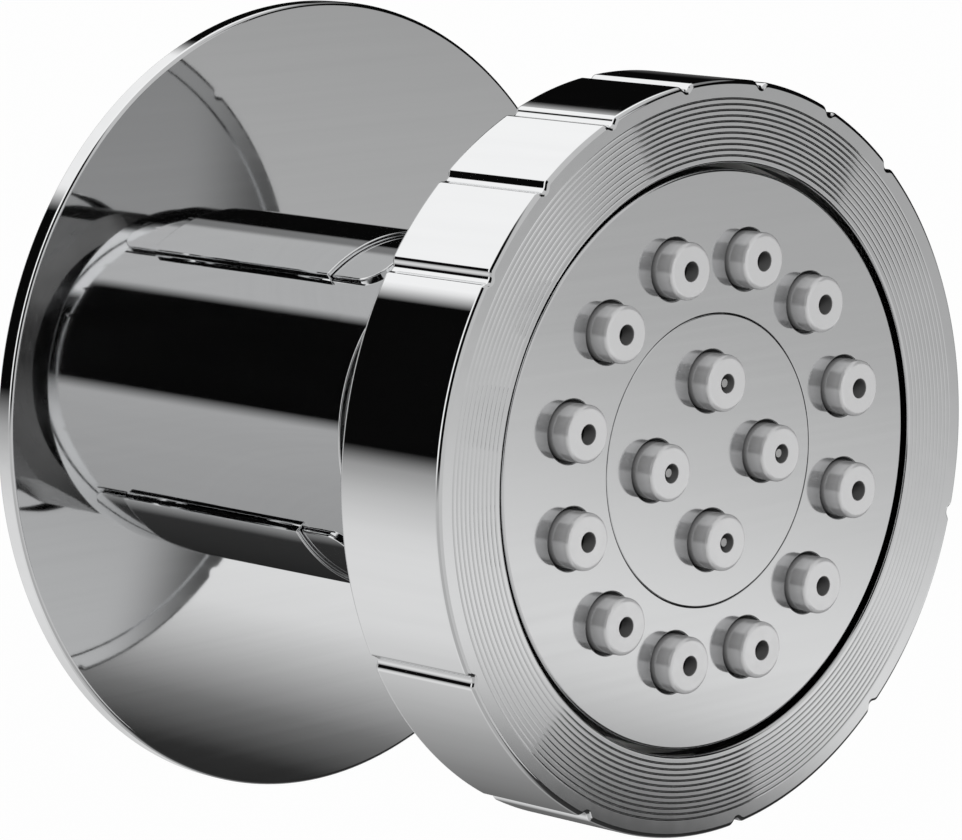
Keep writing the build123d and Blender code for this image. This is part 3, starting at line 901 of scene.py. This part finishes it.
def make_face():
    face = Surface()
    centres = on_circle(outer_circle, outer_count, outer_start)
    inner = centre_radius + seam
    skirt_bore = face_radius - skirt_wall
    steps = even_angles(ROUND_STEPS)
    rim_radius = face_radius + gap_trim
    rim = [
        (rim_radius, face_front - rim_depth),
        (rim_radius, face_front, face_edge),
        (rim_radius - face_edge, face_front),
    ]
    lathe(face, outline(rim, closed=False), steps)
    # The rim's side and the skirt behind it take the gap's painted shade.
    face.finish = 1
    skirt = [
        (skirt_bore, face_back),
        (skirt_bore, skirt_back),
        (face_radius, skirt_back),
        (rim_radius, face_front - rim_depth),
    ]
    lathe(face, outline(skirt, closed=False), steps)
    face.finish = 0
    bore = [(inner + seam_edge, face_front), (inner, face_front, seam_edge), (inner, face_back)]
    lathe(face, outline(bore, closed=False), steps)
    holes(face, centres, nozzle_hole_radius, face_front, face_back)
    front = [circle_points(rim_radius - face_edge, ROUND_STEPS)]
    front.append(circle_points(inner + seam_edge, ROUND_STEPS))
    fill(face, front + hole_loops(nozzle_hole_radius + hole_edge, centres), face_front, 1)
    back = [circle_points(skirt_bore, ROUND_STEPS), circle_points(inner, ROUND_STEPS)]
    fill(face, back + hole_loops(nozzle_hole_radius, centres), face_back, -1)
    return face.piece("face_plate_satin", [face_chrome, gap_painted_shade], "head", "face_plate")


def make_centre():
    disc = Surface()
    centres = on_circle(inner_circle, inner_count, inner_start)
    skirt_bore = centre_radius - skirt_wall
    rim = [
        (skirt_bore, face_back),
        (skirt_bore, skirt_back),
        (centre_radius, skirt_back),
        (centre_radius, face_front, disc_edge),
        (centre_radius - disc_edge, face_front),
    ]
    lathe(disc, outline(rim, closed=False), even_angles(ROUND_STEPS))
    holes(disc, centres, nozzle_hole_radius, face_front, face_back)
    front = [circle_points(centre_radius - disc_edge, ROUND_STEPS)]
    fill(disc, front + hole_loops(nozzle_hole_radius + hole_edge, centres), face_front, 1)
    back = [circle_points(skirt_bore, ROUND_STEPS)]
    fill(disc, back + hole_loops(nozzle_hole_radius, centres), face_back, -1)
    return disc.piece("centre_disc_satin", [face_chrome], "head", "centre_disc")


def nozzles(surface, centres, jet_radius):
    """Nozzles that rise from a mat's front, hollow behind their jets."""
    outside = [
        (nozzle_radius, face_back),
        (nozzle_radius, nozzle_tip, nozzle_edge),
        (jet_radius + jet_edge, nozzle_tip),
    ]
    inside = [
        (jet_radius + jet_edge, nozzle_tip),
        (jet_radius, nozzle_tip, jet_edge),
        (jet_radius, jet_back),
        (feed_radius, jet_back),
        (feed_radius, mat_back),
    ]
    for centre in centres:
        # The inside of each jet takes the painted shade.
        for finish, path in enumerate((outside, inside)):
            surface.finish = finish
            lathe(surface, outline(path, closed=False), even_angles(SMALL_STEPS), centre)
    surface.finish = 0


def make_outer_nozzles():
    mat = Surface()
    centres = on_circle(outer_circle, outer_count, outer_start)
    inner = centre_radius + mat_room
    steps = even_angles(ROUND_STEPS)
    outside = [
        (outer_mat_radius - mat_rim, mat_back),
        (outer_mat_radius - mat_rim, mat_rim_back),
        (outer_mat_radius, mat_rim_back),
        (outer_mat_radius, face_back),
    ]
    inside = [
        (inner, face_back),
        (inner, mat_rim_back),
        (inner + mat_rim, mat_rim_back),
        (inner + mat_rim, mat_back),
    ]
    lathe(mat, outline(outside, closed=False), steps)
    lathe(mat, outline(inside, closed=False), steps)
    nozzles(mat, centres, outer_jet_radius)
    front = [circle_points(outer_mat_radius, ROUND_STEPS), circle_points(inner, ROUND_STEPS)]
    fill(mat, front + hole_loops(nozzle_radius, centres), face_back, 1)
    back = [circle_points(outer_mat_radius - mat_rim, ROUND_STEPS)]
    back.append(circle_points(inner + mat_rim, ROUND_STEPS))
    fill(mat, back + hole_loops(feed_radius, centres), mat_back, -1)
    return mat.piece("outer_nozzles_soft", [silicone, jet_painted_shade], "head", "outer_nozzles")


def make_inner_nozzles():
    mat = Surface()
    centres = on_circle(inner_circle, inner_count, inner_start)
    outside = [
        (inner_mat_radius - mat_rim, mat_back),
        (inner_mat_radius - mat_rim, mat_rim_back),
        (inner_mat_radius, mat_rim_back),
        (inner_mat_radius, face_back),
    ]
    lathe(mat, outline(outside, closed=False), even_angles(ROUND_STEPS))
    nozzles(mat, centres, inner_jet_radius)
    front = [circle_points(inner_mat_radius, ROUND_STEPS)]
    fill(mat, front + hole_loops(nozzle_radius, centres), face_back, 1)
    back = [circle_points(inner_mat_radius - mat_rim, ROUND_STEPS)]
    fill(mat, back + hole_loops(feed_radius, centres), mat_back, -1)
    return mat.piece("inner_nozzles_soft", [silicone, jet_painted_shade], "head", "inner_nozzles")


make_plate()
make_nipple()
make_sleeve()
make_collar()
make_grip_ring()
make_face()
make_centre()
make_outer_nozzles()
make_inner_nozzles()

finishes = {
    "wall_gasket": rubber,
    "inlet_washer": rubber,
    "inlet_screen": steel,
    "flow_limiter": acetal,
    "ball_stem": mirror,
    "stem_oring": rubber,
    "friction_ring": acetal,
    # The ball nut takes the darkened chrome, a painted shade.
    "ball_nut": nut_painted_shade,
    "socket_seal": rubber,
    "head_hub": mirror,
    "ring_oring": rubber,
    "distributor": acetal,
    "distributor_screws": steel,
    "spray_cores": steel,
    "back_cover": plate_chrome,
    "diverter_disc": acetal,
}
for node, finish in finishes.items():
    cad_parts[node].data.materials.clear()
    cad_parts[node].data.materials.append(finish)


# Studio

WHITE = (1.0, 1.0, 1.0, 1.0)
tent_radius = 350.0
tent_front = 430.0
tent_back = 520.0
wall_blend = (-40.0, 40.0)
edge_blend = (225.0, 250.0)
rim_blend = (320.0, 345.0)
floor_drop = 370.0
floor_size = 12.0
floor_grey = (0.88, 0.88, 0.88, 1.0)
floor_roughness = 0.9
floor_glow = 1.1
glow_share = 0.85
ambient = 0.35
lamp_size = 300.0
key_place = (-220.0, -420.0, 260.0)
key_power = 1.6
low_place = (180.0, -380.0, -220.0)
low_power = 0.9
camera_place = (-266.89, -290.50, 63.62)
camera_azimuth = -44.559
camera_elevation = 9.463
camera_roll = -0.154
camera_lens = 195.58
camera_sensor = 36.0
black = 0.003

# Cards round the jet's axis as (angle, level) turning points. From the back of the tent to its front: the
# far cards show in the plate's rim, the back cards in the head's side, the edge cards in the ring's front
# edge, and the front cards in flat faces.
edge_cards = [
    (0, 0.12), (12, black), (51, black), (58, 1.08), (178, 1.08), (186, 0.50), (203, 0.78), (233, 0.81),
    (273, 0.40), (313, 0.16), (360, 0.12),
]
back_cards = [
    (0, 0.12), (12, black), (51, black), (58, 1.08), (130, 1.08), (135, black), (179, black), (184, 0.36),
    (193, 0.60), (203, 0.78), (213, 0.84), (233, 0.81), (253, 0.62), (273, 0.40), (293, 0.26), (313, 0.16),
    (325, 0.14), (343, 0.08), (360, 0.12),
]
far_cards = [
    (0, 0.33), (6, 0.12), (12, black), (57, black), (65, 1.02), (119, 1.02), (126, black), (179, black),
    (189, 0.42), (201, 0.69), (213, 0.82), (240, 0.86), (261, 0.78), (285, 0.70), (330, 0.70), (340, 0.62),
    (348, 0.40), (356, 0.33), (360, 0.33),
]
front_cards = [
    (0, 0.38), (3, black), (41, black), (43, 0.25), (50, 0.25), (54, 0.60), (108, 0.60), (115, black),
    (180, black), (188, 0.52), (262, 0.45), (275, 0.04), (336, 0.02), (337.3, 0.15), (338.4, 0.38),
    (339.4, 0.62), (340.4, 0.82), (341.5, 0.86), (343, 0.80), (346, 0.63), (350, 0.48), (354, 0.45),
    (360, 0.38),
]
cap_level = 0.6


def emission(name):
    """A new material that only gives light, which isn't sampled as a lamp, and its shader."""
    made = bpy.data.materials.new(name)
    made.use_nodes = True
    nodes = made.node_tree.nodes
    nodes.clear()
    output = nodes.new("ShaderNodeOutputMaterial")
    light = nodes.new("ShaderNodeEmission")
    made.node_tree.links.new(light.outputs["Emission"], output.inputs["Surface"])
    made.cycles.emission_sampling = "NONE"
    return made, light


def card_ramp(tree, cards, angle):
    """The cards' levels round the axis, by the angle as a share of a turn."""
    ramp = tree.nodes.new("ShaderNodeValToRGB")
    stops = ramp.color_ramp.elements
    while len(stops) < len(cards):
        stops.new(0.5)
    for stop, (degrees, level) in zip(stops, cards):
        stop.position = degrees / 360
        stop.color = (level, level, level, 1)
    tree.links.new(angle, ramp.inputs["Fac"])
    return ramp.outputs["Color"]


def math_node(tree, operation, *values):
    node = tree.nodes.new("ShaderNodeMath")
    node.operation = operation
    for socket, value in zip(node.inputs, values):
        if isinstance(value, (int, float)):
            socket.default_value = value
        else:
            tree.links.new(value, socket)
    return node.outputs["Value"]


def seen_directly(tree):
    """1 for a ray from the camera, a reflection or a clear material, and 0 for the rest."""
    path = tree.nodes.new("ShaderNodeLightPath")
    seen = math_node(tree, "MAXIMUM", path.outputs["Is Camera Ray"], path.outputs["Is Glossy Ray"])
    return math_node(tree, "MAXIMUM", seen, path.outputs["Is Transmission Ray"])


def blend_along(tree, place, span, before, after):
    """One colour before a span along the jet, and another after it."""
    blend = tree.nodes.new("ShaderNodeMapRange")
    blend.interpolation_type = "SMOOTHSTEP"
    blend.inputs["From Min"].default_value = span[0] * MM
    blend.inputs["From Max"].default_value = span[1] * MM
    tree.links.new(place, blend.inputs["Value"])
    mix = tree.nodes.new("ShaderNodeMix")
    mix.data_type = "RGBA"
    tree.links.new(blend.outputs["Result"], mix.inputs["Factor"])
    tree.links.new(before, mix.inputs["A"])
    tree.links.new(after, mix.inputs["B"])
    return mix.outputs["Result"]


def make_tent():
    """White and black cards round the object, which only its reflections see."""
    walls, light = emission("tent_cards")
    tree = walls.node_tree
    place = tree.nodes.new("ShaderNodeNewGeometry")
    parts = tree.nodes.new("ShaderNodeSeparateXYZ")
    tree.links.new(place.outputs["Position"], parts.inputs["Vector"])
    turn = math_node(tree, "ARCTAN2", parts.outputs["Z"], parts.outputs["X"])
    turns = math_node(tree, "DIVIDE", turn, FULL_TURN)
    share = math_node(tree, "FRACT", math_node(tree, "ADD", turns, 1.0))
    shown = card_ramp(tree, front_cards, share)
    for cards, span in ((edge_cards, wall_blend), (back_cards, edge_blend), (far_cards, rim_blend)):
        shown = blend_along(tree, parts.outputs["Y"], span, shown, card_ramp(tree, cards, share))
    tree.links.new(shown, light.inputs["Color"])

    caps, cap_light = emission("tent_caps")
    cap_light.inputs["Color"].default_value = (cap_level, cap_level, cap_level, 1)

    ring = circle_points(tent_radius * MM, TENT_STEPS)
    count = len(ring)
    ends = (-tent_front * MM, tent_back * MM)
    corners = [(x, y, z) for y in ends for x, z in ring]
    faces = [[i, (i + 1) % count, count + (i + 1) % count, count + i] for i in range(count)]
    faces += [list(range(count)), list(range(count, 2 * count))]
    mesh = bpy.data.meshes.new("tent")
    mesh.from_pydata(corners, [], faces)
    mesh.materials.append(walls)
    mesh.materials.append(caps)
    for face in mesh.polygons[count:]:
        face.material_index = 1
    tent = bpy.data.objects.new("tent", mesh)
    bpy.context.scene.collection.objects.link(tent)
    tent.visible_camera = False
    tent.visible_diffuse = False
    tent.visible_shadow = False
    tent.visible_transmission = False


def make_floor():
    """A wide pale floor that the camera sees as white, with the object's shadow on it."""
    made = bpy.data.materials.new("pale_floor")
    made.use_nodes = True
    tree = made.node_tree
    shader = tree.nodes["Principled BSDF"]
    shader.inputs["Base Color"].default_value = floor_grey
    shader.inputs["Roughness"].default_value = floor_roughness
    glow = tree.nodes.new("ShaderNodeEmission")
    glow.inputs["Strength"].default_value = floor_glow
    mix = tree.nodes.new("ShaderNodeMixShader")
    tree.links.new(math_node(tree, "MULTIPLY", seen_directly(tree), glow_share), mix.inputs["Fac"])
    tree.links.new(shader.outputs["BSDF"], mix.inputs[1])
    tree.links.new(glow.outputs["Emission"], mix.inputs[2])
    tree.links.new(mix.outputs["Shader"], tree.nodes["Material Output"].inputs["Surface"])
    half = floor_size / 2
    level = -floor_drop * MM
    mesh = bpy.data.meshes.new("floor")
    mesh.from_pydata(
        [(-half, -half, level), (half, -half, level), (half, half, level), (-half, half, level)],
        [],
        [[0, 1, 2, 3]],
    )
    mesh.materials.append(made)
    floor = bpy.data.objects.new("floor", mesh)
    bpy.context.scene.collection.objects.link(floor)


def make_world():
    """White behind the object, and an even soft light from all round on it."""
    world = bpy.data.worlds.new("studio")
    bpy.context.scene.world = world
    world.use_nodes = True
    tree = world.node_tree
    background = tree.nodes["Background"]
    background.inputs["Color"].default_value = WHITE
    background.inputs["Strength"].default_value = ambient
    shown = tree.nodes.new("ShaderNodeBackground")
    shown.inputs["Color"].default_value = WHITE
    mix = tree.nodes.new("ShaderNodeMixShader")
    tree.links.new(seen_directly(tree), mix.inputs["Fac"])
    tree.links.new(background.outputs["Background"], mix.inputs[1])
    tree.links.new(shown.outputs["Background"], mix.inputs[2])
    tree.links.new(mix.outputs["Shader"], tree.nodes["World Output"].inputs["Surface"])


def make_lamp(name, place, power):
    """A square soft lamp that points at the head and stays out of reflections."""
    data = bpy.data.lights.new(name, "AREA")
    data.size = lamp_size * MM
    data.energy = power
    lamp = bpy.data.objects.new(name, data)
    bpy.context.scene.collection.objects.link(lamp)
    lamp.location = Vector(place) * MM
    target = Vector((0, -head_front * MM, 0))
    lamp.rotation_mode = "QUATERNION"
    lamp.rotation_quaternion = (target - lamp.location).to_track_quat("-Z", "Y")
    lamp.visible_glossy = False


def make_camera():
    """The photograph's camera: its place, direction, roll and angle of view."""
    azimuth = math.radians(camera_azimuth)
    elevation = math.radians(camera_elevation)
    roll = math.radians(camera_roll)
    back = Vector(
        (
            math.sin(azimuth) * math.cos(elevation),
            -math.cos(azimuth) * math.cos(elevation),
            math.sin(elevation),
        )
    )
    level = Vector((0, 0, 1)).cross(back).normalized()
    upright = back.cross(level)
    right = level * math.cos(roll) + upright * math.sin(roll)
    data = bpy.data.cameras.new("camera")
    data.sensor_width = camera_sensor
    data.lens = camera_lens
    camera = bpy.data.objects.new("camera", data)
    bpy.context.scene.collection.objects.link(camera)
    camera.matrix_world = Matrix((right, back.cross(right), back)).transposed().to_4x4()
    camera.location = Vector(camera_place) * MM
    bpy.context.scene.camera = camera


make_tent()
make_floor()
make_world()
make_lamp("key_lamp", key_place, key_power)
make_lamp("low_lamp", low_place, low_power)
make_camera()
bpy.context.scene.view_settings.view_transform = "Standard"
